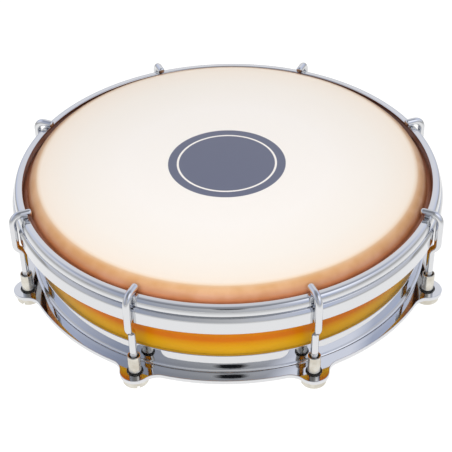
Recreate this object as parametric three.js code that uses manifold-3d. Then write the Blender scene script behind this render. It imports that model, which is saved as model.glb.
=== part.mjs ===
// Tamborim: a small hand-held frame drum with one head and eight tuning hooks.
// Millimetres, +Z up. The origin is on the floor under the middle of the drum,
// which stands on the slotted heads of its tuning nuts, playing face up.
import * as THREE from 'three';
import { mergeVertices } from 'three/addons/utils/BufferGeometryUtils.js';
import Module from 'manifold-3d';

const wasm = await Module();
wasm.setup();

// Facets of round forms. The ring count is a multiple of the station count,
// so every hook, nut and ear meets the rings at a corner of their facets.
const ringFacets = 64;
const nutFacets = 16;
const rodFacets = 8;
const rubberFacets = 6;
const rubberTurnFacets = 12;
const quarterSteps = 4;
const cornerSteps = 2;
const sheetBendSteps = 2;
const hookSteps = 6;
const crankSteps = 3;
const outlineSteps = 3;

// Fits between neighbours
const seatGap = 0.3;
const rubberGap = 0.1;
const holeClearance = 0.45;
const tipClearance = 1;
const shankClearance = 0.3;
const threadClearance = 0.3;
const channelStandoff = 1.5;
const hoopRunClearance = 1.4;
const filmClearance = 0.6;
const cutOverrun = 1;

// Tuning stations, numbered counter-clockwise from the front left one
const stationCount = 8;
const firstStationDegrees = -112.5;

// Tuning nut: a slotted head under the ear and a long barrel through it
const nutHeadLip = 2.35;
const nutHeadThickness = 2.8;
const nutHeadEdge = 0.5;
const nutLength = 12.25;
const nutBarrelEdge = 0.25;
const nutMouthWall = 0.5;
const nutMouthStep = 0.15;
const nutMouthDepth = 2.4;
const nutFloorThickness = 1.3;
const slotWidth = 1.1;
const slotDepth = 1.2;
// How far each slot is turned from the radius where its nut came to rest, in degrees
const slotTurns = [40, 80, 30, 74, -12, 41, -66, 46];

// Rubber ring round the barrel, on top of the ear
const rubberSection = 0.45;

// Tension ring: an L-section band of sheet steel with an ear at every station
const ringSheet = 1.6;
const ringHeight = 9;
const ringBendRadius = 1;
const ringFlangeWidth = 6.4;
const earLip = 2.85;
const earRootFillet = 6;
const earRootOverlap = 3;

// Shell: a moulded ring with a rounded bearing edge and a rebate for the tension ring
const shellOuterRadius = 76.2;
const shellWall = 5;
const shellHeight = 37.5;
const shellFootRise = 0.3;
const shellRebateDepth = 0.5;
const bearingRadius = 4.2;
const shellInnerEdge = 0.8;

// Drumhead: a sheet of film, turned down over the shell and out into its own hoop
const filmThickness = 0.4;
const collarFlare = 0.4;
const filmSkirtFall = 1.1;

// Flesh hoop: an open channel that holds the rim of the film
const channelWidth = 2.8;
const channelHeight = 4.5;
const channelSheet = 0.7;
const channelInnerDrop = 0.8;

// Counterhoop: a steel band with a rolled top bead, pulled down by the hooks
const headStandout = 3.1;
const beadWidth = 3.5;
const beadHeight = 3.5;
const beadOuterEdge = 0.9;
const beadInnerEdge = 0.5;
const shoulderStep = 1;
const shoulderFall = 1.8;
const creaseDepth = 0.4;
const hoopSheet = 1.2;
const hoopHeight = 10.3;

// Tuning hook: a round rod, bent over the bead and cranked inwards above its nut
const rodDiameter = 2.8;
const hookBendRadius = 3.6;
const crankBendRadius = 3;
const crankInset = 2.2;
const crankDegrees = 42;
const crankDrop = 1.3;
const rodEndGap = 1.3;

// Heights and radii that follow from the sizes above, from the floor up
const rodRadius = rodDiameter / 2;
const nutBoreRadius = rodRadius + threadClearance;
const nutMouthRadius = nutBoreRadius + nutMouthStep;
const nutBarrelRadius = nutMouthRadius + nutMouthWall;
const nutHeadRadius = nutBarrelRadius + nutHeadLip;
const earHoleRadius = nutBarrelRadius + holeClearance;
const earEndRadius = earHoleRadius + earLip;
const ringBottom = nutHeadThickness + seatGap;
const flangeTop = ringBottom + ringSheet;
const ringTop = ringBottom + ringHeight;
const shellBottom = ringBottom + shellFootRise;
const shellTop = shellBottom + shellHeight;
const shellInnerRadius = shellOuterRadius - shellWall;
const rebateRadius = shellOuterRadius - shellRebateDepth;
const rebateTop = ringTop + seatGap;
const ringInnerRadius = rebateRadius + seatGap;
const ringWallRadius = ringInnerRadius + ringSheet;
const ringFlangeRadius = ringInnerRadius + ringFlangeWidth;
const edgeCentreRadius = shellOuterRadius - bearingRadius;
const edgeCentreHeight = shellTop - bearingRadius;
const filmInnerBend = bearingRadius + seatGap;
const filmOuterBend = filmInnerBend + filmThickness;
const filmOuterRadius = edgeCentreRadius + filmOuterBend;
const headTop = edgeCentreHeight + filmOuterBend;
const channelInnerRadius = filmOuterRadius + channelStandoff;
const channelOuterRadius = channelInnerRadius + channelWidth;
const channelCentreRadius = (channelInnerRadius + channelOuterRadius) / 2;
const hoopInnerRadius = channelOuterRadius + hoopRunClearance;
const hoopOuterRadius = hoopInnerRadius + hoopSheet;
const hoopTop = headTop - headStandout;
const hoopBottom = hoopTop - hoopHeight;
const beadBottom = hoopTop - beadHeight;
const beadOuterRadius = hoopOuterRadius - shoulderStep;
const beadInnerRadius = beadOuterRadius - beadWidth;
const channelTop = beadBottom - seatGap;
const channelBottom = channelTop - channelHeight;
const tipEndRadius = filmOuterRadius + tipClearance;
const hookShankRadius = hoopOuterRadius + shankClearance + rodRadius;
const hookTopHeight = hoopTop + seatGap + rodRadius;
const stationCircleRadius = hookShankRadius - crankInset;

// Finishes
const finishes = {
  shell: { color: 0xd8931a, roughness: 0.32, metalness: 0 },
  film: { color: 0xf4ead9, roughness: 0.38, metalness: 0 },
  aluminium: { color: 0xb9bcc0, roughness: 0.4, metalness: 1 },
  chrome: { color: 0xc9ccd4, roughness: 0.1, metalness: 1 },
  nickel: { color: 0xc4bba8, roughness: 0.28, metalness: 1 },
  rubber: { color: 0x171717, roughness: 0.7, metalness: 0 },
};

function radians(degrees) {
  return THREE.MathUtils.degToRad(degrees);
}

function stationAngle(index) {
  return radians(firstStationDegrees) + (index / stationCount) * 2 * Math.PI;
}

// A point of a half section: distance from the axis, then height
function at(radius, height) {
  return new THREE.Vector2(radius, height);
}

// The points of an arc in a half section, both ends included
function arcPoints(centreRadius, centreHeight, radius, startDegrees, endDegrees, steps) {
  const start = radians(startDegrees);
  const end = radians(endDegrees);
  const arc = new THREE.EllipseCurve(
    centreRadius, centreHeight, radius, radius, start, end, endDegrees < startDegrees,
  );
  return arc.getPoints(steps);
}

// A half section turned round the Z axis. It runs anticlockwise, from axis to axis
// or back to its first point.
function revolve(section, facets) {
  const geometry = new THREE.LatheGeometry(section, facets);
  geometry.rotateX(Math.PI / 2);
  return closeSeams(geometry);
}

function revolveRing(section, facets) {
  return revolve([...section, section[0].clone()], facets);
}

// Only positions, with the vertices that lie on each other made one
function closeSeams(geometry) {
  const bare = geometry.index ? geometry.toNonIndexed() : geometry;
  bare.deleteAttribute('normal');
  bare.deleteAttribute('uv');
  return mergeVertices(bare);
}

function toSolid(geometry) {
  const triVerts = Uint32Array.from(geometry.index.array);
  const vertProperties = Float32Array.from(geometry.attributes.position.array);
  return new wasm.Manifold(new wasm.Mesh({ numProp: 3, vertProperties, triVerts }));
}

function fromSolid(solid) {
  const mesh = solid.getMesh();
  const geometry = new THREE.BufferGeometry();
  geometry.setAttribute('position', new THREE.BufferAttribute(mesh.vertProperties, mesh.numProp));
  geometry.setIndex(new THREE.BufferAttribute(mesh.triVerts, 1));
  return geometry;
}

function namedMesh(name, geometry, finish) {
  geometry.computeVertexNormals();
  const mesh = new THREE.Mesh(geometry, new THREE.MeshStandardMaterial(finish));
  mesh.name = name;
  return mesh;
}

// The shell's bearing edge is the round that the film is pulled over
function shellGeometry() {
  const section = [
    at(shellInnerRadius, shellBottom),
    at(rebateRadius, shellBottom),
    at(rebateRadius, rebateTop),
    at(shellOuterRadius, rebateTop),
    ...arcPoints(edgeCentreRadius, edgeCentreHeight, bearingRadius, 0, 90, quarterSteps),
    at(shellInnerRadius, shellTop - shellInnerEdge),
  ];
  return revolveRing(section, ringFacets);
}

// The film lies flat over the shell, turns down round its edge, and slants out
// over the channel's inner wall before its rim drops into the channel
function drumheadGeometry() {
  const rimOuter = channelCentreRadius + filmThickness / 2;
  const rimInner = rimOuter - filmThickness;
  const collarOuter = filmOuterRadius + collarFlare;
  const collarInner = collarOuter - filmThickness;
  const skirtEnd = beadBottom - filmClearance;
  const collarBottom = skirtEnd + filmSkirtFall;
  const rimBottom = channelBottom + channelSheet + seatGap;
  const inside = arcPoints(edgeCentreRadius, edgeCentreHeight, filmInnerBend, 90, 0, quarterSteps);
  const outside = arcPoints(edgeCentreRadius, edgeCentreHeight, filmOuterBend, 0, 90, quarterSteps);
  const section = [
    at(0, headTop - filmThickness),
    ...inside,
    at(collarInner, collarBottom - filmThickness),
    at(rimInner, skirtEnd - filmThickness),
    at(rimInner, rimBottom),
    at(rimOuter, rimBottom),
    at(rimOuter, skirtEnd),
    at(collarOuter, collarBottom),
    ...outside,
    at(0, headTop),
  ];
  return revolve(section, ringFacets);
}

function fleshHoopGeometry() {
  const floorTop = channelBottom + channelSheet;
  const innerTop = channelTop - channelInnerDrop;
  const section = [
    at(channelInnerRadius, channelBottom),
    at(channelOuterRadius, channelBottom),
    at(channelOuterRadius, channelTop),
    at(channelOuterRadius - channelSheet, channelTop),
    at(channelOuterRadius - channelSheet, floorTop),
    at(channelInnerRadius + channelSheet, floorTop),
    at(channelInnerRadius + channelSheet, innerTop),
    at(channelInnerRadius, innerTop),
  ];
  return revolveRing(section, ringFacets);
}

// The bead is flat above with round corners and drops straight to a crease, where
// the band steps out over a sloping shoulder to its upright wall
function counterhoopGeometry() {
  const creaseRadius = beadOuterRadius - creaseDepth;
  const shoulderBottom = beadBottom - shoulderFall;
  const outerCorner = arcPoints(
    beadOuterRadius - beadOuterEdge, hoopTop - beadOuterEdge, beadOuterEdge, 0, 90, cornerSteps,
  );
  const innerCorner = arcPoints(
    beadInnerRadius + beadInnerEdge, hoopTop - beadInnerEdge, beadInnerEdge, 90, 180, cornerSteps,
  );
  const section = [
    at(hoopInnerRadius, hoopBottom),
    at(hoopOuterRadius, hoopBottom),
    at(hoopOuterRadius, shoulderBottom),
    at(creaseRadius, beadBottom),
    at(beadOuterRadius, beadBottom + creaseDepth),
    ...outerCorner,
    ...innerCorner,
    at(beadInnerRadius, beadBottom),
    at(creaseRadius - hoopSheet, beadBottom),
    at(hoopInnerRadius, shoulderBottom - hoopSheet / 2),
  ];
  return revolveRing(section, ringFacets);
}

// One ear's outline, on the X axis: a round end joined to the flange by a fillet
// that touches both circles
function earOutline() {
  const flangeToFillet = ringFlangeRadius + earRootFillet;
  const earToFillet = earEndRadius + earRootFillet;
  const across = stationCircleRadius ** 2 + flangeToFillet ** 2 - earToFillet ** 2;
  const filletAngle = Math.acos(across / (2 * stationCircleRadius * flangeToFillet));
  const filletX = flangeToFillet * Math.cos(filletAngle);
  const filletY = flangeToFillet * Math.sin(filletAngle);
  const earAngle = Math.atan2(filletY, filletX - stationCircleRadius);
  const root = ringFlangeRadius - earRootOverlap;
  const rootX = root * Math.cos(filletAngle);
  const rootY = root * Math.sin(filletAngle);
  const outline = new THREE.Shape();
  outline.moveTo(rootX, -rootY);
  outline.absarc(filletX, -filletY, earRootFillet, Math.PI - filletAngle, Math.PI - earAngle, true);
  outline.absarc(stationCircleRadius, 0, earEndRadius, -earAngle, earAngle, false);
  outline.absarc(filletX, filletY, earRootFillet, Math.PI + earAngle, Math.PI + filletAngle, true);
  outline.lineTo(rootX, rootY);
  return outline;
}

function tensionRingGeometry() {
  const bendCentreRadius = ringWallRadius + ringBendRadius;
  const bendCentreHeight = flangeTop + ringBendRadius;
  const outerBend = ringBendRadius + ringSheet;
  const section = [
    ...arcPoints(bendCentreRadius, bendCentreHeight, outerBend, 180, 270, sheetBendSteps),
    at(ringFlangeRadius, ringBottom),
    at(ringFlangeRadius, flangeTop),
    ...arcPoints(bendCentreRadius, bendCentreHeight, ringBendRadius, 270, 180, sheetBendSteps),
    at(ringWallRadius, ringTop),
    at(ringInnerRadius, ringTop),
  ];
  const ear = new THREE.ExtrudeGeometry(earOutline(), {
    depth: ringSheet, bevelEnabled: false, curveSegments: outlineSteps,
  });
  const hole = new THREE.CylinderGeometry(
    earHoleRadius, earHoleRadius, ringSheet + 2 * cutOverrun, nutFacets,
  );
  ear.translate(0, 0, ringBottom);
  hole.rotateX(Math.PI / 2);
  hole.translate(stationCircleRadius, 0, ringBottom + ringSheet / 2);
  const earSolid = toSolid(closeSeams(ear));
  const holeSolid = toSolid(closeSeams(hole));
  let ring = toSolid(revolveRing(section, ringFacets));
  for (let index = 0; index < stationCount; index += 1) {
    const turn = THREE.MathUtils.radToDeg(stationAngle(index));
    ring = ring.add(earSolid.rotate([0, 0, turn]));
    ring = ring.subtract(holeSolid.rotate([0, 0, turn]));
  }
  return fromSolid(ring);
}

// The nut stands on its head at the origin. Its bore is blind, above the slot.
function nutGeometry(slotTurn) {
  const boreFloor = nutHeadThickness + nutFloorThickness;
  const section = [
    at(0, 0),
    at(nutHeadRadius - nutHeadEdge, 0),
    at(nutHeadRadius, nutHeadEdge),
    at(nutHeadRadius, nutHeadThickness),
    at(nutBarrelRadius, nutHeadThickness),
    at(nutBarrelRadius, nutLength - nutBarrelEdge),
    at(nutBarrelRadius - nutBarrelEdge, nutLength),
    at(nutMouthRadius, nutLength),
    at(nutMouthRadius, nutLength - nutMouthDepth),
    at(nutBoreRadius, nutLength - nutMouthDepth),
    at(nutBoreRadius, boreFloor),
    at(0, boreFloor),
  ];
  const slot = new THREE.BoxGeometry(
    2 * (nutHeadRadius + cutOverrun), slotWidth, slotDepth + cutOverrun,
  );
  slot.translate(0, 0, (slotDepth - cutOverrun) / 2);
  slot.rotateZ(radians(slotTurn));
  const blank = toSolid(revolve(section, nutFacets));
  return fromSolid(blank.subtract(toSolid(closeSeams(slot))));
}

// The ring lies flat, its lowest point at height 0
function rubberRingGeometry() {
  const sectionRadius = rubberSection / 2;
  const centreRadius = nutBarrelRadius + rubberGap + sectionRadius;
  const torus = new THREE.TorusGeometry(centreRadius, sectionRadius, rubberFacets, rubberTurnFacets);
  torus.translate(0, 0, sectionRadius);
  return closeSeams(torus);
}

// A bent rod's centre line. Its rings stand only at the ends of the straights and
// round the bends, and each one faces along the rod.
class BentRod extends THREE.Curve {
  constructor(startRadius, startHeight, startHeading) {
    super();
    this.stops = [];
    this.radius = startRadius;
    this.height = startHeight;
    this.heading = startHeading;
    this.mark();
  }

  mark() {
    const along = new THREE.Vector3(Math.cos(this.heading), 0, Math.sin(this.heading));
    this.stops.push({ point: new THREE.Vector3(this.radius, 0, this.height), along });
  }

  straight(length) {
    this.radius += length * Math.cos(this.heading);
    this.height += length * Math.sin(this.heading);
    this.mark();
    return this;
  }

  // A bend to the right where turn is positive
  bend(bendRadius, turn, steps) {
    const side = Math.sign(turn);
    const centreX = this.radius + side * bendRadius * Math.sin(this.heading);
    const centreY = this.height - side * bendRadius * Math.cos(this.heading);
    for (let step = 0; step < steps; step += 1) {
      this.heading -= turn / steps;
      this.radius = centreX - side * bendRadius * Math.sin(this.heading);
      this.height = centreY + side * bendRadius * Math.cos(this.heading);
      this.mark();
    }
    return this;
  }

  stop(share) {
    return this.stops[Math.round(share * (this.stops.length - 1))];
  }

  getPointAt(share) {
    return this.stop(share).point.clone();
  }

  getTangentAt(share) {
    return this.stop(share).along.clone();
  }
}

// The rod runs out over the bead, down outside the hoop, in over the crank, and
// down the middle of the nut
function hookGeometry() {
  const crankTurn = radians(crankDegrees);
  const bendInset = 2 * crankBendRadius * (1 - Math.cos(crankTurn));
  const slope = (crankInset - bendInset) / Math.sin(crankTurn);
  const crankTop = hoopBottom - crankDrop;
  const crankHeight = 2 * crankBendRadius * Math.sin(crankTurn) + slope * Math.cos(crankTurn);
  const crankBottom = crankTop - crankHeight;
  const rodEnd = nutHeadThickness + nutFloorThickness + rodEndGap;
  const line = new BentRod(tipEndRadius, hookTopHeight, 0);
  line.straight(hookShankRadius - hookBendRadius - tipEndRadius)
    .bend(hookBendRadius, Math.PI / 2, hookSteps)
    .straight(hookTopHeight - hookBendRadius - crankTop)
    .bend(crankBendRadius, crankTurn, crankSteps)
    .straight(slope)
    .bend(crankBendRadius, -crankTurn, crankSteps)
    .straight(crankBottom - rodEnd);
  const section = new THREE.Shape();
  section.absarc(0, 0, rodRadius, 0, 2 * Math.PI, false);
  const rod = new THREE.ExtrudeGeometry(section, {
    steps: line.stops.length - 1, extrudePath: line, curveSegments: rodFacets / 2,
  });
  return closeSeams(rod);
}

// A station's own pieces, in a group that is turned to its place on the circle
function tuningStation(index) {
  const number = index + 1;
  const station = new THREE.Group();
  const nut = namedMesh(`tuning_nut_${number}`, nutGeometry(slotTurns[index]), finishes.nickel);
  const rubber = namedMesh(`nut_o_ring_${number}`, rubberRingGeometry(), finishes.rubber);
  const hook = namedMesh(`tuning_hook_${number}`, hookGeometry(), finishes.chrome);
  nut.position.set(stationCircleRadius, 0, 0);
  rubber.position.set(stationCircleRadius, 0, flangeTop + rubberGap);
  station.add(nut, rubber, hook);
  station.rotation.z = stationAngle(index);
  return station;
}

function tamborim() {
  const drum = new THREE.Group();
  drum.add(namedMesh('shell', shellGeometry(), finishes.shell));
  drum.add(namedMesh('drumhead', drumheadGeometry(), finishes.film));
  drum.add(namedMesh('flesh_hoop', fleshHoopGeometry(), finishes.aluminium));
  drum.add(namedMesh('counterhoop', counterhoopGeometry(), finishes.chrome));
  drum.add(namedMesh('tension_ring', tensionRingGeometry(), finishes.chrome));
  for (let index = 0; index < stationCount; index += 1) {
    drum.add(tuningStation(index));
  }
  return drum;
}

export default tamborim();
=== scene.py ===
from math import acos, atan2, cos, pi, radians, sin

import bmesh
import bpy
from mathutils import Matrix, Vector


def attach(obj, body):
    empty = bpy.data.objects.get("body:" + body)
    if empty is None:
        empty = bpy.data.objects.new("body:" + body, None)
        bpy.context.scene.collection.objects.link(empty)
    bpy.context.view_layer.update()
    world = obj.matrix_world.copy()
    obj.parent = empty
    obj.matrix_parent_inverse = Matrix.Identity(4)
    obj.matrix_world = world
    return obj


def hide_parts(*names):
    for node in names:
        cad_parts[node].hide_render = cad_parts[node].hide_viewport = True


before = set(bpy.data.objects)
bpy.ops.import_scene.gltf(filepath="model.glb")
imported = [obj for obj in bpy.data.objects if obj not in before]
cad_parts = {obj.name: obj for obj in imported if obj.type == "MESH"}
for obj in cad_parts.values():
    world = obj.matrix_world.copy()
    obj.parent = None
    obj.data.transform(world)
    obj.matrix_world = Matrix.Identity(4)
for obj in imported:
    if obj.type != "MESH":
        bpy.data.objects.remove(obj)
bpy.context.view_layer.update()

# %% [markdown]
# # A tamborim, cell by cell
# A tamborim is a small frame drum. A plastic film is pulled over a moulded ring by a chrome hoop, and
# eight bent rods pull the hoop towards a pressed steel ring at the drum's foot. The solids that carry
# the sizes and the joints are loaded above. Each one is now given its fine form and its finish.

MM = 0.001

# %% [markdown]
# Most pieces of a drum are rings, so each one is drawn as a half section and turned once round the
# axis. A corner of the section is one vertex, and bevelling that vertex gives the bend or the worn
# edge of the real piece. The bevel works on a bare wire as it does on a solid.

# %% A section with round corners
ROUND_STEPS = 5


def draw_section(bm, corners, closed=True):
    """A wire in the XZ plane from (radius, height, rounding) in millimetres."""
    verts = [bm.verts.new((radius * MM, 0, height * MM)) for radius, height, _ in corners]
    ends = verts[1:] + verts[:1] if closed else verts[1:]
    for pair in zip(verts, ends):
        bm.edges.new(pair)
    for vert, (_, _, rounding) in zip(verts, corners):
        if rounding:
            bmesh.ops.bevel(bm, geom=[vert], offset=rounding * MM, offset_type='OFFSET',
                            segments=ROUND_STEPS, profile=0.5, affect='VERTICES',
                            clamp_overlap=False, material=-1)


# %% A full turn round the drum's axis
RING_STEPS = 192
MERGE = 0.002 * MM


def turn_once(bm, steps=RING_STEPS):
    """Turns the section once round the Z axis and closes the seam and the poles."""
    bmesh.ops.spin(bm, geom=bm.verts[:] + bm.edges[:], cent=(0, 0, 0), axis=(0, 0, 1),
                   dvec=(0, 0, 0), angle=2 * pi, steps=steps, use_merge=True)
    bmesh.ops.remove_doubles(bm, verts=bm.verts, dist=MERGE)


# %% [markdown]
# A finished mesh becomes an object at the origin. It rides on its body and stands for its solid.
# Weighted normals keep the wide faces flat and let only the narrow rounds shade, which is what makes
# polished metal look pressed instead of inflated.

# %% Handing a mesh over to the scene
def make_piece(name, bm, body, nodes, material):
    """Makes the mesh an object that rides on a body and stands for CAD nodes."""
    bmesh.ops.recalc_face_normals(bm, faces=bm.faces)
    mesh = bpy.data.meshes.new(name)
    bm.to_mesh(mesh)
    bm.free()
    mesh.shade_smooth()
    mesh.materials.append(material)
    piece = bpy.data.objects.new(name, mesh)
    bpy.context.scene.collection.objects.link(piece)
    normals = piece.modifiers.new("flat faces stay flat", 'WEIGHTED_NORMAL')
    normals.keep_sharp = True
    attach(piece, body)
    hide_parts(*nodes)
    print(name, len(mesh.polygons), "faces")
    return piece


# %% [markdown]
# A material is a small graph of nodes. The colours are written as the sRGB hex values that a paint
# chart gives, and one function turns them into the linear values that the shader counts in.

# %% Colours and nodes
def linear(colour):
    """The linear colour for an sRGB hex value."""
    channels = [int(colour[place:place + 2], 16) / 255 for place in (1, 3, 5)]
    return (*[c / 12.92 if c <= 0.04045 else ((c + 0.055) / 1.055) ** 2.4 for c in channels], 1)


def add_node(tree, kind, inputs=None, **settings):
    """A node with its settings. Each input is given a value, or a link where it is a socket."""
    added = tree.nodes.new(kind)
    for key, value in settings.items():
        setattr(added, key, value)
    for key, value in (inputs or {}).items():
        if isinstance(value, bpy.types.NodeSocket):
            tree.links.new(value, added.inputs[key])
        else:
            added.inputs[key].default_value = value
    return added


def new_material(name):
    material = bpy.data.materials.new(name)
    material.use_nodes = True
    material.node_tree.nodes.clear()
    return material, material.node_tree


def counted(material):
    """Prints how many nodes a finished material has, and hands it on."""
    print(material.name, len(material.node_tree.nodes), "nodes")
    return material


# %% Ramps between colours
def colour_ramp(tree, fac, stops):
    """A colour ramp from (place, sRGB hex) stops."""
    ramp = add_node(tree, 'ShaderNodeValToRGB', {'Fac': fac})
    elements = ramp.color_ramp.elements
    while len(elements) < len(stops):
        elements.new(0.5)
    for element, (place, colour) in zip(elements, stops):
        element.position = place
        element.color = linear(colour)
    return ramp.outputs['Color']


# %% [markdown]
# Chrome plate over rolled steel: a mirror with a faint blue cast. Handling leaves it a little
# uneven, so a soft noise moves its roughness between polished and barely hazed, and a second one
# with a period of about 9 mm bends the reflections as rolled sheet does. Both periods and the height
# of the waves are in millimetres. The bent rods wave half as much as the sheet. A metal shader
# without any of this would be a perfect mirror, and plate never looks like one.

# %% Bright chrome
HAZE_PERIOD = 14
POLISHED = 0.03
HAZED = 0.075
WAVE_PERIOD = 9


def chrome_plate(name, wave_height):
    material, tree = new_material(name)
    place = add_node(tree, 'ShaderNodeTexCoord').outputs['Object']
    haze = add_node(tree, 'ShaderNodeTexNoise', {
        'Vector': place, 'Scale': 1 / (HAZE_PERIOD * MM), 'Detail': 4.0})
    rough = add_node(tree, 'ShaderNodeMapRange', {
        'Value': haze.outputs['Fac'], 'From Min': 0.3, 'From Max': 0.7,
        'To Min': POLISHED, 'To Max': HAZED})
    wave = add_node(tree, 'ShaderNodeTexNoise', {
        'Vector': place, 'Scale': 1 / (WAVE_PERIOD * MM), 'Detail': 1.0})
    bump = add_node(tree, 'ShaderNodeBump', {
        'Height': wave.outputs['Fac'], 'Strength': 1.0, 'Distance': wave_height * MM})
    shader = add_node(tree, 'ShaderNodeBsdfPrincipled', {
        'Base Color': linear('#DADBDD'), 'Metallic': 1.0, 'Roughness': rough.outputs['Result'],
        'Normal': bump.outputs['Normal']})
    add_node(tree, 'ShaderNodeOutputMaterial', {'Surface': shader.outputs['BSDF']})
    return material


chrome_sheet = counted(chrome_plate("bright_chrome_plate_on_rolled_steel", 0.02))
chrome_rod = counted(chrome_plate("bright_chrome_plate_on_steel_rod", 0.01))

# %% [markdown]
# Nickel is warmer than chrome, and turned nuts keep the fine rings of the lathe. Real tool marks
# stand about 0.05 mm apart. That is too fine to show, so they are drawn 0.5 mm apart. A wave texture
# runs through 20 radians in one unit of its scaled coordinates, and a ring is one full turn.

# %% Turned and nickelled steel
LATHE_RING = 0.5
WAVE_RADIANS = 20
CLOUD_PERIOD = 3


def turned_nickel():
    material, tree = new_material("warm_nickel_plate_on_turned_steel")
    place = add_node(tree, 'ShaderNodeTexCoord').outputs['Object']
    rings = add_node(tree, 'ShaderNodeTexWave', {
        'Vector': place, 'Scale': 2 * pi / WAVE_RADIANS / (LATHE_RING * MM),
        'Distortion': 0.4, 'Detail': 1.0},
        wave_type='BANDS', bands_direction='Z')
    bump = add_node(tree, 'ShaderNodeBump', {
        'Height': rings.outputs['Fac'], 'Strength': 0.25, 'Distance': 0.006 * MM})
    cloud = add_node(tree, 'ShaderNodeTexNoise', {
        'Vector': place, 'Scale': 1 / (CLOUD_PERIOD * MM), 'Detail': 3.0})
    tint = colour_ramp(tree, cloud.outputs['Fac'], [(0.3, '#CBC5B8'), (0.7, '#DEDBD1')])
    shader = add_node(tree, 'ShaderNodeBsdfPrincipled', {
        'Base Color': tint, 'Metallic': 1.0, 'Roughness': 0.24, 'Normal': bump.outputs['Normal']})
    add_node(tree, 'ShaderNodeOutputMaterial', {'Surface': shader.outputs['BSDF']})
    return material


nickel = counted(turned_nickel())

# %% [markdown]
# The shell is injection-moulded ABS in a warm yellow-orange. The mould leaves it smooth, with a very
# shallow orange peel about 1.5 mm from dimple to dimple, and the pigment is never quite even. By
# height it runs from its own yellow at the foot to a deeper orange under the hoop, and that deeper
# orange is painted shade, where the hoop shadows the shell. The gloss is kept weak, so that the white
# room doesn't wash the orange out.

# %% Moulded ABS
SHELL_RAMP_FOOT = 12
SHELL_RAMP_TOP = 28
# The shell's own yellow at the foot, then painted shade: a deeper orange where the hoop shadows the
# shell.
SHELL_COLOURS_AND_HOOP_SHADE = [
    (0.0, '#C2921C'), (0.19, '#CA940A'), (0.3, '#C98600'), (0.39, '#C76C00'), (0.47, '#C96C00'),
    (0.54, '#CE7A00'), (1.0, '#CE8204')]
UNEVEN_PERIOD = 25
PEEL_PERIOD = 1.5


def moulded_abs():
    material, tree = new_material("moulded_abs_yellow_orange")
    place = add_node(tree, 'ShaderNodeTexCoord').outputs['Object']
    height = add_node(tree, 'ShaderNodeSeparateXYZ', {'Vector': place}).outputs['Z']
    climb = add_node(tree, 'ShaderNodeMapRange', {
        'Value': height, 'From Min': SHELL_RAMP_FOOT * MM, 'From Max': SHELL_RAMP_TOP * MM})
    # The hoop's shadow is painted into the shell's colour here, by height.
    body = colour_ramp(tree, climb.outputs['Result'], SHELL_COLOURS_AND_HOOP_SHADE)
    cloud = add_node(tree, 'ShaderNodeTexNoise', {
        'Vector': place, 'Scale': 1 / (UNEVEN_PERIOD * MM), 'Detail': 2.0})
    pale = colour_ramp(tree, cloud.outputs['Fac'], [(0.3, '#F4F0EC'), (0.7, '#FFFFFF')])
    tint = add_node(tree, 'ShaderNodeMix', {0: 1.0, 6: body, 7: pale},
                    data_type='RGBA', blend_type='MULTIPLY')
    peel = add_node(tree, 'ShaderNodeTexNoise', {
        'Vector': place, 'Scale': 1 / (PEEL_PERIOD * MM), 'Detail': 1.0})
    bump = add_node(tree, 'ShaderNodeBump', {
        'Height': peel.outputs['Fac'], 'Strength': 0.4, 'Distance': 0.02 * MM})
    shader = add_node(tree, 'ShaderNodeBsdfPrincipled', {
        'Base Color': tint.outputs[2], 'Roughness': 0.3, 'IOR': 1.54, 'Specular IOR Level': 0.12,
        'Normal': bump.outputs['Normal']})
    add_node(tree, 'ShaderNodeOutputMaterial', {'Surface': shader.outputs['BSDF']})
    return material


abs_orange = counted(moulded_abs())

# %% [markdown]
# The head is milky polyester film. Light passes through it, so over the open middle it looks cream,
# and where it turns down over the orange shell into the collar it looks peach. Lower down, in the gap
# under the hoop, it turns brown, and that brown is painted shade. The height gives the collar its
# colour, the distance from the axis adds a faint tint near the shell, and a soft mottling of 8 mm
# shows on the slope only. Light scattered inside a thin sheet would be the true way, but it is slow
# and grainy, so the colours it ends in are painted by place, as painted light, and a little
# transmission is kept. The printed disc in the middle is plain: a slate blue field with one thin ring
# left out of it.

# %% Milky polyester film
HEAD_TOP = 41.6
FILM_FLAT = 40.0
FILM_EDGE = 72.0
COLLAR_FOOT = 34.0
# Painted light and shade: peach where light through the film meets the shell, then painted shade
# darkening to brown towards the foot, in the gap under the hoop.
COLLAR_LIGHT_AND_SHADE = [
    (34.0, '#704030'), (35.1, '#96604A'), (35.9, '#B3785A'), (36.7, '#C4805F'), (37.6, '#CC8E6B'),
    (38.4, '#CC997B'), (39.2, '#CB9B7A'), (39.8, '#CDA078'), (40.5, '#D3A97E'), (40.9, '#DAB38C'),
    (41.3, '#E1C4A5'), (41.45, '#F5E8DA'), (41.6, '#FCF7F2')]
RIM_TINTS = [(0.0, '#FFFFFF'), (0.62, '#FCFAF6'), (0.9, '#FBF5ED'), (1.0, '#FAF1E6')]
MOTTLE_PERIOD = 8
MOTTLE_START = 0.1
MOTTLE_FULL = 0.9
PRINT_SPAN = 25.0
DISC_RADIUS = 22.8
RING_IN = 18.6
RING_OUT = 19.4
DISC_EDGE = 0.12
DISC_BLUE = '#5B6078'


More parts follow.
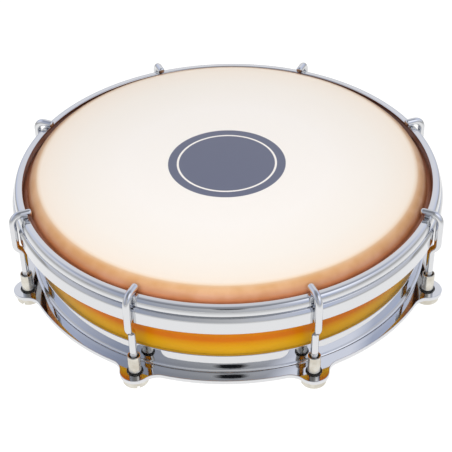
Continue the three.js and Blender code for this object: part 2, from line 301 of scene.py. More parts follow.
def polyester_film():
    material, tree = new_material("milky_polyester_film")
    place = add_node(tree, 'ShaderNodeTexCoord').outputs['Object']
    parts = add_node(tree, 'ShaderNodeSeparateXYZ', {'Vector': place})
    flat = add_node(tree, 'ShaderNodeCombineXYZ', {'X': parts.outputs['X'], 'Y': parts.outputs['Y']})
    radius = add_node(tree, 'ShaderNodeVectorMath', {0: flat.outputs['Vector']}, operation='LENGTH')
    shore = add_node(tree, 'ShaderNodeMapRange', {
        'Value': radius.outputs['Value'], 'From Min': FILM_FLAT * MM, 'From Max': FILM_EDGE * MM})
    over_shell = colour_ramp(tree, shore.outputs['Result'], RIM_TINTS)
    drop = add_node(tree, 'ShaderNodeMapRange', {
        'Value': parts.outputs['Z'], 'From Min': COLLAR_FOOT * MM, 'From Max': HEAD_TOP * MM})
    collar = colour_ramp(tree, drop.outputs['Result'], [
        ((z - COLLAR_FOOT) / (HEAD_TOP - COLLAR_FOOT), colour) for z, colour in COLLAR_LIGHT_AND_SHADE])
    skin = add_node(tree, 'ShaderNodeMix', {0: 1.0, 6: collar, 7: over_shell},
                    data_type='RGBA', blend_type='MULTIPLY')
    cloud = add_node(tree, 'ShaderNodeTexNoise', {
        'Vector': place, 'Scale': 1 / (MOTTLE_PERIOD * MM), 'Detail': 2.0})
    mottle = colour_ramp(tree, cloud.outputs['Fac'], [(0.38, '#F4EAD4'), (0.62, '#FFFFFF')])
    slope = add_node(tree, 'ShaderNodeMapRange', {
        'Value': parts.outputs['Z'], 'From Min': (HEAD_TOP - MOTTLE_START) * MM,
        'From Max': (HEAD_TOP - MOTTLE_FULL) * MM})
    skin = add_node(tree, 'ShaderNodeMix', {0: slope.outputs['Result'], 6: skin.outputs[2], 7: mottle},
                    data_type='RGBA', blend_type='MULTIPLY')
    print_span = add_node(tree, 'ShaderNodeMapRange', {
        'Value': radius.outputs['Value'], 'From Min': 0.0, 'From Max': PRINT_SPAN * MM})
    ink_stops = [(0.0, '#FFFFFF')]
    for edge, inside, outside in (
            (RING_IN, '#FFFFFF', '#000000'), (RING_OUT, '#000000', '#FFFFFF'),
            (DISC_RADIUS, '#FFFFFF', '#000000')):
        ink_stops += [(edge / PRINT_SPAN, inside), ((edge + DISC_EDGE) / PRINT_SPAN, outside)]
    ink = colour_ramp(tree, print_span.outputs['Result'], ink_stops)
    printed = add_node(tree, 'ShaderNodeMix', {0: ink, 6: skin.outputs[2], 7: linear(DISC_BLUE)},
                       data_type='RGBA')
    shader = add_node(tree, 'ShaderNodeBsdfPrincipled', {
        'Base Color': printed.outputs[2], 'Roughness': 0.3, 'IOR': 1.6, 'Transmission Weight': 0.15})
    add_node(tree, 'ShaderNodeOutputMaterial', {'Surface': shader.outputs['BSDF']})
    return material


film = counted(polyester_film())

# %% [markdown]
# Two finishes are plain. Rolled aluminium is a pale metal that the rolls leave satin and faintly
# scuffed. Nitrile rubber is black and matt, with a dusty bloom. In both, one noise varies the colour
# and lifts the surface a little, every 2 mm on the metal and every 0.5 mm on the rubber.

# %% Plain aluminium and black rubber
def plain_finish(name, low, high, grain, sockets):
    """A finish between two colours, with a grain in millimetres."""
    material, tree = new_material(name)
    place = add_node(tree, 'ShaderNodeTexCoord').outputs['Object']
    cloud = add_node(tree, 'ShaderNodeTexNoise', {
        'Vector': place, 'Scale': 1 / (grain * MM), 'Detail': 3.0})
    tint = colour_ramp(tree, cloud.outputs['Fac'], [(0.35, low), (0.65, high)])
    bump = add_node(tree, 'ShaderNodeBump', {
        'Height': cloud.outputs['Fac'], 'Strength': 0.3, 'Distance': 0.02 * MM})
    shader = add_node(tree, 'ShaderNodeBsdfPrincipled', {
        'Base Color': tint, 'Normal': bump.outputs['Normal'], **sockets})
    add_node(tree, 'ShaderNodeOutputMaterial', {'Surface': shader.outputs['BSDF']})
    return material


aluminium = counted(plain_finish(
    "rolled_aluminium", '#B4B6B9', '#C4C6C8', 2.0, {'Metallic': 1.0, 'Roughness': 0.38}))
rubber = counted(plain_finish(
    "black_nitrile_rubber", '#0E0E0E', '#191919', 0.5, {'Roughness': 0.6, 'IOR': 1.52}))

# %% [markdown]
# The shell is a moulded ring with a rounded bearing edge, which the film is pulled over, and a
# shallow rebate round its foot for the tension ring. It could be cut from a tube with Booleans, but
# one section gives it all and keeps the edges clean.

# %% The shell
SHELL_INNER = 71.2
SHELL_OUTER = 76.2
REBATE = 75.7
SHELL_FOOT = 3.4
REBATE_TOP = 12.1
SHELL_TOP = 40.9
BEARING_EDGE = 4.2

bm = bmesh.new()
draw_section(bm, [
    (SHELL_INNER, SHELL_FOOT, 0.5), (REBATE, SHELL_FOOT, 0.4), (REBATE, REBATE_TOP, 0),
    (SHELL_OUTER, REBATE_TOP, 0), (SHELL_OUTER, SHELL_TOP, BEARING_EDGE),
    (SHELL_INNER, SHELL_TOP, 0.75)])
turn_once(bm)
make_piece("moulded_shell", bm, "drum", ["shell"], abs_orange)

# %% [markdown]
# The film is one sheet. It lies flat, turns down round the bearing edge, slants out over the inner
# wall of the flesh hoop, and drops into the channel. Its section starts and ends on the axis, so it
# is left open there, and the turn closes it into two poles.

# %% The drumhead
FILM = 0.4
EDGE_BEND = 4.9
FLAT_RIM = 66

bm = bmesh.new()
draw_section(bm, [
    (0, HEAD_TOP - FILM, 0), (FLAT_RIM, HEAD_TOP - FILM, 0), (76.5, HEAD_TOP - FILM, EDGE_BEND - FILM),
    (76.9, 35.1, 0.3), (79.6, 34.0, 0.3), (79.6, 31.2, 0), (80.0, 31.2, 0), (80.0, 34.4, 0.5),
    (77.3, 35.5, 0.5), (76.9, HEAD_TOP, EDGE_BEND), (FLAT_RIM, HEAD_TOP, 0), (0, HEAD_TOP, 0)],
    closed=False)
turn_once(bm)
make_piece("film_drumhead", bm, "drum", ["drumhead"], film)

# %% [markdown]
# The flesh hoop is an open channel of aluminium that grips the rim of the film. It hides between
# the shell and the counterhoop, and shows only from above through the gap, and from below. Its two
# legs differ in height, so the channel is drawn whole and not folded from a strip.

# %% The flesh hoop
bm = bmesh.new()
draw_section(bm, [
    (78.4, 30.2, 0.5), (81.2, 30.2, 0.5), (81.2, 34.7, 0.2), (80.5, 34.7, 0.2), (80.5, 30.9, 0.3),
    (79.1, 30.9, 0.3), (79.1, 33.9, 0.2), (78.4, 33.9, 0.2)])
turn_once(bm)
make_piece("channel_flesh_hoop", bm, "drum", ["flesh_hoop"], aluminium)

# %% [markdown]
# The counterhoop is rolled from one steel band. Its top is folded in to a flat-topped bead, a
# crease runs under the bead, and a sloping shoulder leads out to the upright wall. Each fold is a
# corner of the section with a radius of its own, because the bands that chrome mirrors come from
# these radii alone.

# %% The counterhoop
bm = bmesh.new()
draw_section(bm, [
    (82.6, 28.2, 0.3), (83.8, 28.2, 0.3), (83.8, 33.2, 0.6), (83.0, 34.6, 0.12), (81.8, 34.9, 0.05),
    (82.8, 35.3, 0.15), (82.8, 36.0, 0.35), (82.6, 36.95, 0.4), (82.25, 37.75, 0.2), (81.8, 38.29, 0.2),
    (81.2, 38.46, 0.25), (79.3, 38.5, 0.5), (79.3, 35.0, 0.4),
    (81.2, 35.0, 0.2), (82.6, 32.6, 0.5)])
turn_once(bm)
make_piece("rolled_counterhoop", bm, "drum", ["counterhoop"], chrome_sheet)

# %% [markdown]
# The tension ring is a pressed L-section. Its flange has eight ears with a hole each. Half an ear
# and half a gap hold the whole outline, so only they are drawn. Each arc is one vertex turned about
# the arc's centre, which keeps the curve exact whatever its number of steps.

# %% Drawing a line with arcs
STATIONS = 8
HALF_SECTOR = pi / STATIONS
RING_FLOOR = 3.1
FLANGE_TOP = 4.7
RING_TOP = 12.1
RING_INNER = 76.0
RING_WALL = 77.6
BEND_FOOT = 78.6
FLANGE_RADIUS = 82.4
STATION_CIRCLE = 83.3
HOLE_RADIUS = 2.8
EAR_RADIUS = 5.65
EAR_FILLET = 6.0
FLANGE_STEPS = 8
FILLET_STEPS = 10
EAR_STEPS = 14
HOLE_STEPS = 24


def line_to(bm, vert, x, y, z):
    """A straight edge from a vertex to a point in millimetres."""
    made = bmesh.ops.extrude_vert_indiv(bm, verts=[vert])['verts'][0]
    made.co = Vector((x, y, z)) * MM
    return made


def arc_from(bm, vert, centre, angle, steps):
    """An arc about an upright axis, drawn by turning one vertex."""
    last = bmesh.ops.spin(bm, geom=[vert], cent=Vector(centre) * MM, axis=(0, 0, 1), dvec=(0, 0, 0),
                          angle=angle, steps=steps)['geom_last']
    return next(part for part in last if isinstance(part, bmesh.types.BMVert))


# %% Half a sector of the flange
to_fillet = FLANGE_RADIUS + EAR_FILLET
ear_to_fillet = EAR_RADIUS + EAR_FILLET
across = STATION_CIRCLE ** 2 + to_fillet ** 2 - ear_to_fillet ** 2
fillet_angle = acos(across / (2 * STATION_CIRCLE * to_fillet))
fillet = Vector((to_fillet * cos(fillet_angle), to_fillet * sin(fillet_angle), FLANGE_TOP))
ear = Vector((STATION_CIRCLE, 0, FLANGE_TOP))
ear_angle = atan2(fillet.y, fillet.x - ear.x)

bm = bmesh.new()
start = bm.verts.new(Vector((BEND_FOOT, 0, FLANGE_TOP)) * MM)
pen = arc_from(bm, start, (0, 0, 0), HALF_SECTOR, RING_STEPS // (2 * STATIONS))
pen = line_to(bm, pen, FLANGE_RADIUS * cos(HALF_SECTOR), FLANGE_RADIUS * sin(HALF_SECTOR), FLANGE_TOP)
pen = arc_from(bm, pen, (0, 0, 0), fillet_angle - HALF_SECTOR, FLANGE_STEPS)
pen = arc_from(bm, pen, fillet, ear_angle - fillet_angle, FILLET_STEPS)
pen = arc_from(bm, pen, ear, -ear_angle, EAR_STEPS)
pen = line_to(bm, pen, STATION_CIRCLE + HOLE_RADIUS, 0, FLANGE_TOP)
pen = arc_from(bm, pen, ear, pi, HOLE_STEPS)
line_to(bm, pen, BEND_FOOT, 0, FLANGE_TOP)
bmesh.ops.remove_doubles(bm, verts=bm.verts, dist=MERGE)
print("outline", len(bm.verts), "points, closed:", all(len(vert.link_edges) == 2 for vert in bm.verts))

# %% [markdown]
# The outline is filled, given the sheet's thickness, mirrored, and repeated eight times. The sides
# that will lie inside the finished ring are deleted first, so that all the copies merge to one skin
# with nothing inside it.

# %% From half a sector to the whole flange
bmesh.ops.contextual_create(bm, geom=bm.edges[:])
sheet = bmesh.ops.extrude_face_region(bm, geom=bm.faces[:])['geom']
bmesh.ops.translate(bm, vec=(0, 0, (RING_FLOOR - FLANGE_TOP) * MM),
                    verts=[part for part in sheet if isinstance(part, bmesh.types.BMVert)])


def on_seam(face):
    """A side face that the wall, the mirror image or the next sector will cover."""
    middle = face.calc_center_median() / MM
    if abs(face.normal.z) > 0.5:
        return False
    return (abs(middle.y) < 0.01 or abs(atan2(middle.y, middle.x) - HALF_SECTOR) < 0.001
            or abs(middle.xy.length - BEND_FOOT) < 0.05)


bmesh.ops.recalc_face_normals(bm, faces=bm.faces)
bmesh.ops.delete(bm, geom=[face for face in bm.faces if on_seam(face)], context='FACES')
bmesh.ops.mirror(bm, geom=bm.verts[:] + bm.edges[:] + bm.faces[:], matrix=Matrix.Identity(4),
                 merge_dist=MERGE, axis='Y')
bmesh.ops.spin(bm, geom=bm.verts[:] + bm.edges[:] + bm.faces[:], cent=(0, 0, 0), axis=(0, 0, 1),
               dvec=(0, 0, 0), angle=2 * pi * (STATIONS - 1) / STATIONS, steps=STATIONS - 1,
               use_duplicate=True)
bmesh.ops.rotate(bm, verts=bm.verts, cent=(0, 0, 0), matrix=Matrix.Rotation(HALF_SECTOR, 3, 'Z'))
bmesh.ops.remove_doubles(bm, verts=bm.verts, dist=MERGE)
print("flange", len(bm.faces), "faces")

# %% [markdown]
# The wall and its bend are one more section, turned and joined to the flange. The wall swells by a
# little over a tenth of a millimetre, as pressed sheet does, and that bends its reflections. Last,
# each sharp rim is broken, also round the holes.

# %% The wall and the bend
wall = bmesh.new()
draw_section(wall, [
    (BEND_FOOT, FLANGE_TOP, 0), (RING_WALL - 0.12, FLANGE_TOP, 1.0), (RING_WALL, 7.0, 1.25),
    (RING_WALL - 0.15, RING_TOP, 0.3), (RING_INNER, RING_TOP, 0.1), (RING_INNER, RING_FLOOR, 2.6),
    (BEND_FOOT, RING_FLOOR, 0)], closed=False)
bmesh.ops.remove_doubles(wall, verts=wall.verts, dist=MERGE)
turn_once(wall)
wall_mesh = bpy.data.meshes.new("ring_wall")
wall.to_mesh(wall_mesh)
wall.free()
bm.from_mesh(wall_mesh)
bpy.data.meshes.remove(wall_mesh)
bmesh.ops.remove_doubles(bm, verts=bm.verts, dist=MERGE)
bmesh.ops.recalc_face_normals(bm, faces=bm.faces)
print("ring", len(bm.faces), "faces")

# %% The rims rounded
SHARP = radians(60)
RIM_ROUND = 0.25


def round_rims(bm, offset, segments=3, keep=lambda edge: True):
    """Bevels the edges whose faces meet sharply."""
    rims = [edge for edge in bm.edges if edge.calc_face_angle(0) > SHARP and keep(edge)]
    bmesh.ops.bevel(bm, geom=rims, offset=offset * MM, offset_type='OFFSET', segments=segments,
                    profile=0.5, affect='EDGES', clamp_overlap=True, material=-1)
    return len(rims)


print("rims", round_rims(bm, RIM_ROUND), "open edges", sum(edge.is_boundary for edge in bm.edges))
make_piece("pressed_tension_ring", bm, "drum", ["tension_ring"], chrome_sheet)

# %% [markdown]
# A tuning hook is a length of rod, bent cold round three pins. The script bends it the same way: a
# ring of edges is pushed along a straight, then turned about the centre of a bend, and so on from
# the tip over the bead down to the thread.

# %% Sweeping a ring of edges
class RodBender:
    """Sweeps a ring of edges through straights and bends in the XZ plane, in millimetres."""

    def __init__(self, bm, radius, x, z, sides):
        self.bm = bm
        self.place = Vector((x, 0, z))
        self.heading = Vector((1, 0, 0))
        bmesh.ops.create_circle(
            bm, segments=sides, radius=radius * MM,
            matrix=Matrix.Translation(self.place * MM) @ Matrix.Rotation(pi / 2, 4, 'Y'))
        self.ring = bm.edges[:]

    def straight(self, length, scale=1.0):
        made = bmesh.ops.extrude_edge_only(self.bm, edges=self.ring)['geom']
        verts = [part for part in made if isinstance(part, bmesh.types.BMVert)]
        self.ring = [part for part in made if isinstance(part, bmesh.types.BMEdge) and part.is_boundary]
        self.place = self.place + self.heading * length
        bmesh.ops.translate(self.bm, verts=verts, vec=self.heading * length * MM)
        bmesh.ops.scale(self.bm, verts=verts, vec=(scale, scale, scale),
                        space=Matrix.Translation(-self.place * MM))

    def bend(self, radius, angle, steps):
        """Turns down and inwards where the angle is positive."""
        side = Vector((self.heading.z, 0, -self.heading.x)) * (1 if angle > 0 else -1)
        centre = self.place + side * radius
        ends = {vert for edge in self.ring for vert in edge.verts}
        last = bmesh.ops.spin(self.bm, geom=list(ends) + self.ring, cent=centre * MM, axis=(0, 1, 0),
                              dvec=(0, 0, 0), angle=angle, steps=steps)['geom_last']
        self.ring = [part for part in last if isinstance(part, bmesh.types.BMEdge)]
        turned = Matrix.Rotation(angle, 3, 'Y')
        self.place = centre + turned @ (self.place - centre)
        self.heading = turned @ self.heading


# %% [markdown]
# The lower end carries a 3 mm thread with a pitch of 0.5 mm. The rod is divided into short slices
# there, and each point moves in by how far round and how far down it lies, which makes one helix.

# %% One tuning hook
ROD = 1.4
TIP = 77.9
HOOK_TOP = 40.2
SHANK = 85.5
HOOK_BEND = 3.6
CRANK_BEND = 3.0
CRANK_ANGLE = radians(42)
CRANK_TOP = 26.9
THREAD_TOP = 14.0
THREAD_PITCH = 0.5
THREAD_CREST = 1.34
THREAD_DEPTH = 0.24
ROD_END = 5.4
SLICES = 4
ROD_SIDES = 28
HOOK_STEPS = 18
CRANK_STEPS = 8
TIP_ROUND = 0.9
END_ROUND = 0.3


def bent_hook():
    bm = bmesh.new()
    rod = RodBender(bm, ROD, TIP, HOOK_TOP, ROD_SIDES)
    tip = rod.ring
    rod.straight(SHANK - HOOK_BEND - TIP)
    rod.bend(HOOK_BEND, pi / 2, HOOK_STEPS)
    rod.straight(rod.place.z - CRANK_TOP)
    rod.bend(CRANK_BEND, CRANK_ANGLE, CRANK_STEPS)
    inset = SHANK - STATION_CIRCLE
    rod.straight((inset - 2 * CRANK_BEND * (1 - cos(CRANK_ANGLE))) / sin(CRANK_ANGLE))
    rod.bend(CRANK_BEND, -CRANK_ANGLE, CRANK_STEPS)
    rod.straight(rod.place.z - THREAD_TOP)
    slices = round((THREAD_TOP - ROD_END) / THREAD_PITCH * SLICES)
    for _ in range(slices):
        rod.straight((THREAD_TOP - ROD_END) / slices)
    for vert in bm.verts:
        around = Vector((vert.co.x / MM - STATION_CIRCLE, vert.co.y / MM))
        depth = THREAD_TOP - vert.co.z / MM
        if depth > 0.01:
            phase = (depth / THREAD_PITCH + atan2(around.y, around.x) / (2 * pi)) % 1
            run_in = min(1, depth / THREAD_PITCH)
            radius = ROD + (THREAD_CREST - THREAD_DEPTH * abs(2 * phase - 1) - ROD) * run_in
            around = around.normalized() * radius
            vert.co.xy = Vector((STATION_CIRCLE + around.x, around.y)) * MM
    for ring, rounding in ((tip, TIP_ROUND), (rod.ring, END_ROUND)):
        cap = bmesh.ops.edgeloop_fill(bm, edges=ring)['faces']
        bmesh.ops.bevel(bm, geom=cap[0].edges[:], offset=rounding * MM, offset_type='OFFSET',
                        segments=ROUND_STEPS, profile=0.5, affect='EDGES', clamp_overlap=True,
                        material=-1)
    print("rod ends at", [round(value, 2) for value in rod.place])
    return bm


# %% [markdown]
# Each station's pieces are drawn on the X axis and turned to their own place on the circle. The
# first station is the front left one, and they run counter-clockwise seen from above.

# %% The eight hooks
FIRST_STATION = -112.5
STATION_STEP = 45


def station_turn(station):
    return Matrix.Rotation(radians(FIRST_STATION + STATION_STEP * station), 3, 'Z')


for station in range(STATIONS):
    bm = bent_hook()
    bmesh.ops.rotate(bm, verts=bm.verts, cent=(0, 0, 0), matrix=station_turn(station))
    number = station + 1
    make_piece(f"bent_hook_{number}", bm, f"hook_{number}", [f"tuning_hook_{number}"],
               chrome_rod)

# %% [markdown]
# A tuning nut is turned from bar: a wide slotted head, a long thin-walled barrel and a blind
# thread. The slot is sawn last, so here it is a Boolean cut, and its edges are broken afterwards.
# The bore is left plain, because the hook fills it.

# %% One tuning nut
SLOT_TURNS = [40, 80, 30, 74, -12, 41, -66, 46]
SLOT_WIDTH = 1.1
SLOT_DEPTH = 1.2
SLOT_ROUND = 0.08
SAW_LENGTH = 12
NUT_STEPS = 64
NUT_SECTION = [
    (0, 0, 0), (4.7, 0, 0.5), (4.7, 2.8, 0.3), (2.35, 2.8, 0), (2.35, 12.25, 0.2), (1.85, 12.25, 0.15),
    (1.85, 9.85, 0), (1.7, 9.65, 0), (1.7, 4.1, 0), (0, 4.1, 0)]


def temporary_object(bm, name):
    mesh = bpy.data.meshes.new(name)
    bm.to_mesh(mesh)
    bm.free()
    made = bpy.data.objects.new(name, mesh)
    bpy.context.scene.collection.objects.link(made)
    return made


def turned_nut(slot_turn):
    blank = bmesh.new()
    draw_section(blank, NUT_SECTION, closed=False)
    turn_once(blank, NUT_STEPS)
    bmesh.ops.recalc_face_normals(blank, faces=blank.faces)
    saw = bmesh.new()
    bmesh.ops.create_cube(saw, size=MM, matrix=Matrix.Rotation(radians(slot_turn), 4, 'Z')
                          @ Matrix.Diagonal((SAW_LENGTH, SLOT_WIDTH, 2 * SLOT_DEPTH, 1)))
    blank, saw = temporary_object(blank, "nut_blank"), temporary_object(saw, "slot_saw")
    cut = blank.modifiers.new("slot", 'BOOLEAN')
    cut.operation = 'DIFFERENCE'
    cut.solver = 'EXACT'
    cut.object = saw
    nut = bmesh.new()
    nut.from_object(blank, bpy.context.evaluated_depsgraph_get())
    for helper in (blank, saw):
        bpy.data.meshes.remove(helper.data)
    slot_reach = (SLOT_DEPTH + 0.1) * MM
    round_rims(nut, SLOT_ROUND, 2, lambda edge: max(vert.co.z for vert in edge.verts) < slot_reach)
    return nut


# %% [markdown]
# A thin black rubber ring sits on each ear round the barrel, so that the nut doesn't rattle. It is a
# small circle turned once round the nut's axis. It turns with the nut, so both ride on the nut's
# body.

# %% The eight nuts and rubber rings
RUBBER_RADIUS = 0.225
RUBBER_CIRCLE = 2.675
RUBBER_HEIGHT = 5.025
RUBBER_SIDES = 14
RUBBER_STEPS = 48


def rubber_ring():
    bm = bmesh.new()
    bmesh.ops.create_circle(
        bm, segments=RUBBER_SIDES, radius=RUBBER_RADIUS * MM,
        matrix=Matrix.Translation(Vector((RUBBER_CIRCLE, 0, RUBBER_HEIGHT)) * MM)
        @ Matrix.Rotation(pi / 2, 4, 'X'))
    turn_once(bm, RUBBER_STEPS)
    return bm


for station in range(STATIONS):
    number = station + 1
    for name, bm, slot, material in (
            ("turned_nut", turned_nut(SLOT_TURNS[station]), "tuning_nut", nickel),
            ("rubber_ring", rubber_ring(), "nut_o_ring", rubber)):
        bmesh.ops.translate(bm, verts=bm.verts, vec=Vector((STATION_CIRCLE, 0, 0)) * MM)
        bmesh.ops.rotate(bm, verts=bm.verts, cent=(0, 0, 0), matrix=station_turn(station))
        make_piece(f"{name}_{number}", bm, f"nut_{number}", [f"{slot}_{number}"], material)

# %% [markdown]
# The drum stands on a white table that runs on without an edge. To the camera the floor glows white
# and still takes the drum's soft shadow. In reflections it is white near the drum and fades to grey
# further off, as a lit table does in a darker room, and that gives the chrome its contrast. To every
# other ray it is plain pale paper, which throws light up on the drum's underside.

# %% The floor
FLOOR_SIZE = 4.0
GLOW_SEEN = 0.86
GLOW_NEAR = 0.76
GLOW_FAR = 0.3
FADE_START = 0.135
FADE_END = 0.26


def light_path(tree):
    """1 for the rays that show the background: camera, glossy and transmission rays."""
    path = add_node(tree, 'ShaderNodeLightPath').outputs
    shown = path['Is Camera Ray']
    for other in ('Is Glossy Ray', 'Is Transmission Ray'):
        shown = add_node(tree, 'ShaderNodeMath', {0: shown, 1: path[other]},
                         operation='MAXIMUM').outputs[0]
    return shown


def white_table():
    material, tree = new_material("white_paper_sweep")
    paper = add_node(tree, 'ShaderNodeBsdfDiffuse', {'Color': linear('#E6E6E6')})
    shaded = add_node(tree, 'ShaderNodeBsdfDiffuse', {'Color': linear('#8C8C8C')})
    place = add_node(tree, 'ShaderNodeTexCoord').outputs['Object']
    away = add_node(tree, 'ShaderNodeVectorMath', {0: place}, operation='LENGTH')
    fading = add_node(tree, 'ShaderNodeMapRange', {
        'Value': away.outputs['Value'], 'From Min': FADE_START, 'From Max': FADE_END,
        'To Min': GLOW_NEAR, 'To Max': GLOW_FAR})
    seen = add_node(tree, 'ShaderNodeLightPath').outputs['Is Camera Ray']
    strength = add_node(tree, 'ShaderNodeMix', {0: seen, 2: fading.outputs['Result'], 3: GLOW_SEEN})
    glow = add_node(tree, 'ShaderNodeEmission', {
        'Color': linear('#FFFFFF'), 'Strength': strength.outputs[0]})
    sweep = add_node(tree, 'ShaderNodeAddShader', {0: shaded.outputs[0], 1: glow.outputs[0]})
    floor = add_node(tree, 'ShaderNodeMixShader', {
        0: light_path(tree), 1: paper.outputs[0], 2: sweep.outputs[0]})
    add_node(tree, 'ShaderNodeOutputMaterial', {'Surface': floor.outputs[0]})
    return material


bm = bmesh.new()
bmesh.ops.create_grid(bm, x_segments=1, y_segments=1, size=FLOOR_SIZE)
floor = temporary_object(bm, "paper_floor")
floor.data.materials.append(counted(white_table()))

# %% [markdown]
# Chrome shows what stands round it, so a studio is built for it: a tent that glows like lit pale
# cloth and that only reflections see. Its glow is painted light: palest half way up and greyer
# towards the crown, faintly blue at the sides, and dimmer in front on the left, where the room isn't
# lit. A soft-edged white panel of brighter glow hangs over the front right. All of it stays where it
# is in the room when the drum is looked at from another side.

# %% The glowing cloth of the tent
CAMERA_PLACE = (12.64, -389.44, 310.11)
to_camera = Vector(CAMERA_PLACE).normalized()
TENT_RADIUS = 2.0
UNLIT_TURN = -25
WHITE_PANEL = Vector((0.6, -0.35, 0.72))
PANEL_EDGE = 0.9
PANEL_FULL = 0.975
PANEL_STRENGTH = 1.35
BY_HEIGHT = [
    (0.0, '#D8D9DC'), (0.12, '#DCDDE1'), (0.4, '#F4F5FA'), (0.66, '#F4F5FA'), (0.8, '#C8CAD2'),
    (0.93, '#A2A5AC'), (1.0, '#989BA2')]
BY_UNLIT_SIDE = [(0.5, '#FFFFFF'), (0.75, '#E8E8E8'), (0.93, '#CECECC'), (1.0, '#CACAC8')]
BY_WIDTH = [
    (0.1, '#FFFFFF'), (0.4, '#F4F7FF'), (0.68, '#DEE8FF'), (0.85, '#F4F7FF'), (1.0, '#FAFBFF')]


def glowing_tent_cloth():
    material, tree = new_material("grey_blue_studio_tent")
    place = add_node(tree, 'ShaderNodeTexCoord').outputs['Object']
    way = add_node(tree, 'ShaderNodeVectorMath', {0: place}, operation='NORMALIZE').outputs['Vector']
    parts = add_node(tree, 'ShaderNodeSeparateXYZ', {'Vector': way}).outputs
    # Painted light: the tent's glow by height, by side and in the white panel.
    cloth = colour_ramp(tree, parts['Z'], BY_HEIGHT)
    unlit_side = Matrix.Rotation(radians(UNLIT_TURN), 3, 'Z') @ to_camera
    facing = add_node(tree, 'ShaderNodeVectorMath', {0: way, 1: tuple(unlit_side)},
                      operation='DOT_PRODUCT')
    dim = colour_ramp(tree, facing.outputs['Value'], BY_UNLIT_SIDE)
    sideways = add_node(tree, 'ShaderNodeMath', {0: parts['X']}, operation='ABSOLUTE')
    blue = colour_ramp(tree, sideways.outputs[0], BY_WIDTH)
    for layer in (dim, blue):
        cloth = add_node(tree, 'ShaderNodeMix', {0: 1.0, 6: cloth, 7: layer},
                         data_type='RGBA', blend_type='MULTIPLY').outputs[2]
    near_panel = add_node(tree, 'ShaderNodeVectorMath', {0: way, 1: tuple(WHITE_PANEL.normalized())},
                          operation='DOT_PRODUCT')
    panel = add_node(tree, 'ShaderNodeMapRange', {
        'Value': near_panel.outputs['Value'], 'From Min': PANEL_EDGE, 'From Max': PANEL_FULL})
    cloth = add_node(tree, 'ShaderNodeMix', {
        0: panel.outputs['Result'], 6: cloth, 7: linear('#F1F4FF')}, data_type='RGBA').outputs[2]
    lift = add_node(tree, 'ShaderNodeMapRange', {
        'Value': panel.outputs['Result'], 'To Min': 1.0, 'To Max': PANEL_STRENGTH})
    glow = add_node(tree, 'ShaderNodeEmission', {'Color': cloth, 'Strength': lift.outputs['Result']})
    add_node(tree, 'ShaderNodeOutputMaterial', {'Surface': glow.outputs[0]})
    material.cycles.emission_sampling = 'NONE'
    return material


# %% The tent, seen only in reflections
def only_in_reflections(piece):
    piece.visible_camera = False
    piece.visible_diffuse = False
    piece.visible_transmission = False
    piece.visible_volume_scatter = False
    piece.visible_shadow = False


bm = bmesh.new()
bmesh.ops.create_uvsphere(bm, u_segments=48, v_segments=24, radius=TENT_RADIUS)
tent = temporary_object(bm, "studio_tent")
tent.data.materials.append(counted(glowing_tent_cloth()))
only_in_reflections(tent)

# %% [markdown]
# The camera shows in the chrome too, as the small dark patches in the middle of the ring. A black
# card stands in its place, a flat ellipse that faces the drum and fades out at its left and right.

# %% The card in the camera's place
CARD_WIDTH = 0.14
CARD_HEIGHT = 0.055


def black_card():
    material, tree = new_material("black_camera_card")
    place = add_node(tree, 'ShaderNodeTexCoord').outputs['Object']
    off = add_node(tree, 'ShaderNodeVectorMath', {0: place, 1: tuple(Vector(CAMERA_PLACE) * MM)},
                   operation='SUBTRACT')
    along = add_node(tree, 'ShaderNodeSeparateXYZ', {'Vector': off.outputs[0]}).outputs['X']
    aside = add_node(tree, 'ShaderNodeMath', {0: along}, operation='ABSOLUTE')
    fade = add_node(tree, 'ShaderNodeMapRange', {
        'Value': aside.outputs[0], 'From Min': CARD_WIDTH / 4, 'From Max': CARD_WIDTH / 2})
    black = add_node(tree, 'ShaderNodeEmission', {'Color': linear('#1E2024'), 'Strength': 1.0})
    clear = add_node(tree, 'ShaderNodeBsdfTransparent')
    card = add_node(tree, 'ShaderNodeMixShader', {
        0: fade.outputs[0], 1: black.outputs[0], 2: clear.outputs[0]})
    add_node(tree, 'ShaderNodeOutputMaterial', {'Surface': card.outputs[0]})
    material.cycles.emission_sampling = 'NONE'
    return material


card_turn = to_camera.to_track_quat('Z', 'Y').to_matrix().to_4x4()
bm = bmesh.new()
bmesh.ops.create_circle(bm, cap_ends=True, segments=48, radius=0.5,
                        matrix=Matrix.Translation(Vector(CAMERA_PLACE) * MM) @ card_turn
                        @ Matrix.Diagonal((CARD_WIDTH, CARD_HEIGHT, 1, 1)))
card = temporary_object(bm, "camera_card")
card.data.materials.append(counted(black_card()))
only_in_reflections(card)

# %% [markdown]
# The world is plain white where it shows, and a weak even light for everything else. A wide lamp in
# front, 45 degrees up, lights the drum as it is seen and throws its shadow back. A weaker one stands
# low behind, so that the far side isn't lost. Neither lamp shows in the chrome.

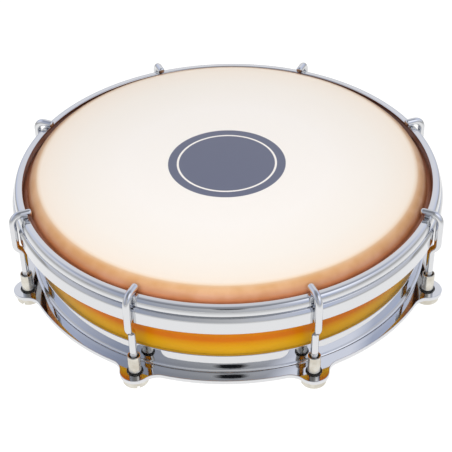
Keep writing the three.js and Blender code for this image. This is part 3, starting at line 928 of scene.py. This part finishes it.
# %% The world
EVEN_LIGHT = 0.25
world = bpy.data.worlds.new("white_studio")
bpy.context.scene.world = world
world.use_nodes = True
tree = world.node_tree
tree.nodes.clear()
even = add_node(tree, 'ShaderNodeBackground', {'Color': linear('#FFFFFF'), 'Strength': EVEN_LIGHT})
white = add_node(tree, 'ShaderNodeBackground', {'Color': linear('#FFFFFF'), 'Strength': 1.0})
sky = add_node(tree, 'ShaderNodeMixShader', {
    0: light_path(tree), 1: even.outputs[0], 2: white.outputs[0]})
add_node(tree, 'ShaderNodeOutputWorld', {'Surface': sky.outputs[0]})
print(world.name, len(tree.nodes), "nodes")


# %% The lamps
def wide_lamp(name, place, size, power):
    """A round lamp that looks at the drum: place and size in metres, power in watts."""
    lamp = bpy.data.lights.new(name, 'AREA')
    lamp.shape = 'DISK'
    lamp.size = size
    lamp.energy = power
    made = bpy.data.objects.new(name, lamp)
    bpy.context.scene.collection.objects.link(made)
    made.location = place
    made.rotation_euler = (-Vector(place)).to_track_quat('-Z', 'Y').to_euler()
    made.visible_glossy = False
    print(name, size, "m across,", power, "W")


wide_lamp("front_softbox", (-0.05, -0.6, 0.6), 0.9, 10.0)
wide_lamp("rear_softbox", (0.1, 0.8, 0.16), 0.5, 2.8)

# %% [markdown]
# The camera's place, angles and lens were found from the circles of the hoop and the ring and from the
# eight hook tips. It looks down at 37.6 degrees. Everything is in focus.

# %% Camera
SENSOR = 36
LENS = 96.93
CAMERA_PAN = 1.99
CAMERA_TILT = 52.445
CAMERA_ROLL = -1.30

camera_data = bpy.data.cameras.new("studio_camera")
camera_data.sensor_width = SENSOR
camera_data.lens = LENS
camera = bpy.data.objects.new("studio_camera", camera_data)
bpy.context.scene.collection.objects.link(camera)
camera.matrix_world = (Matrix.Translation(Vector(CAMERA_PLACE) * MM)
                       @ Matrix.Rotation(radians(CAMERA_PAN), 4, 'Z')
                       @ Matrix.Rotation(radians(CAMERA_TILT), 4, 'X')
                       @ Matrix.Rotation(radians(CAMERA_ROLL), 4, 'Z'))
bpy.context.scene.camera = camera
bpy.context.scene.view_settings.view_transform = 'Standard'
print("camera", [round(value, 1) for value in CAMERA_PLACE], "mm, lens", LENS, "mm")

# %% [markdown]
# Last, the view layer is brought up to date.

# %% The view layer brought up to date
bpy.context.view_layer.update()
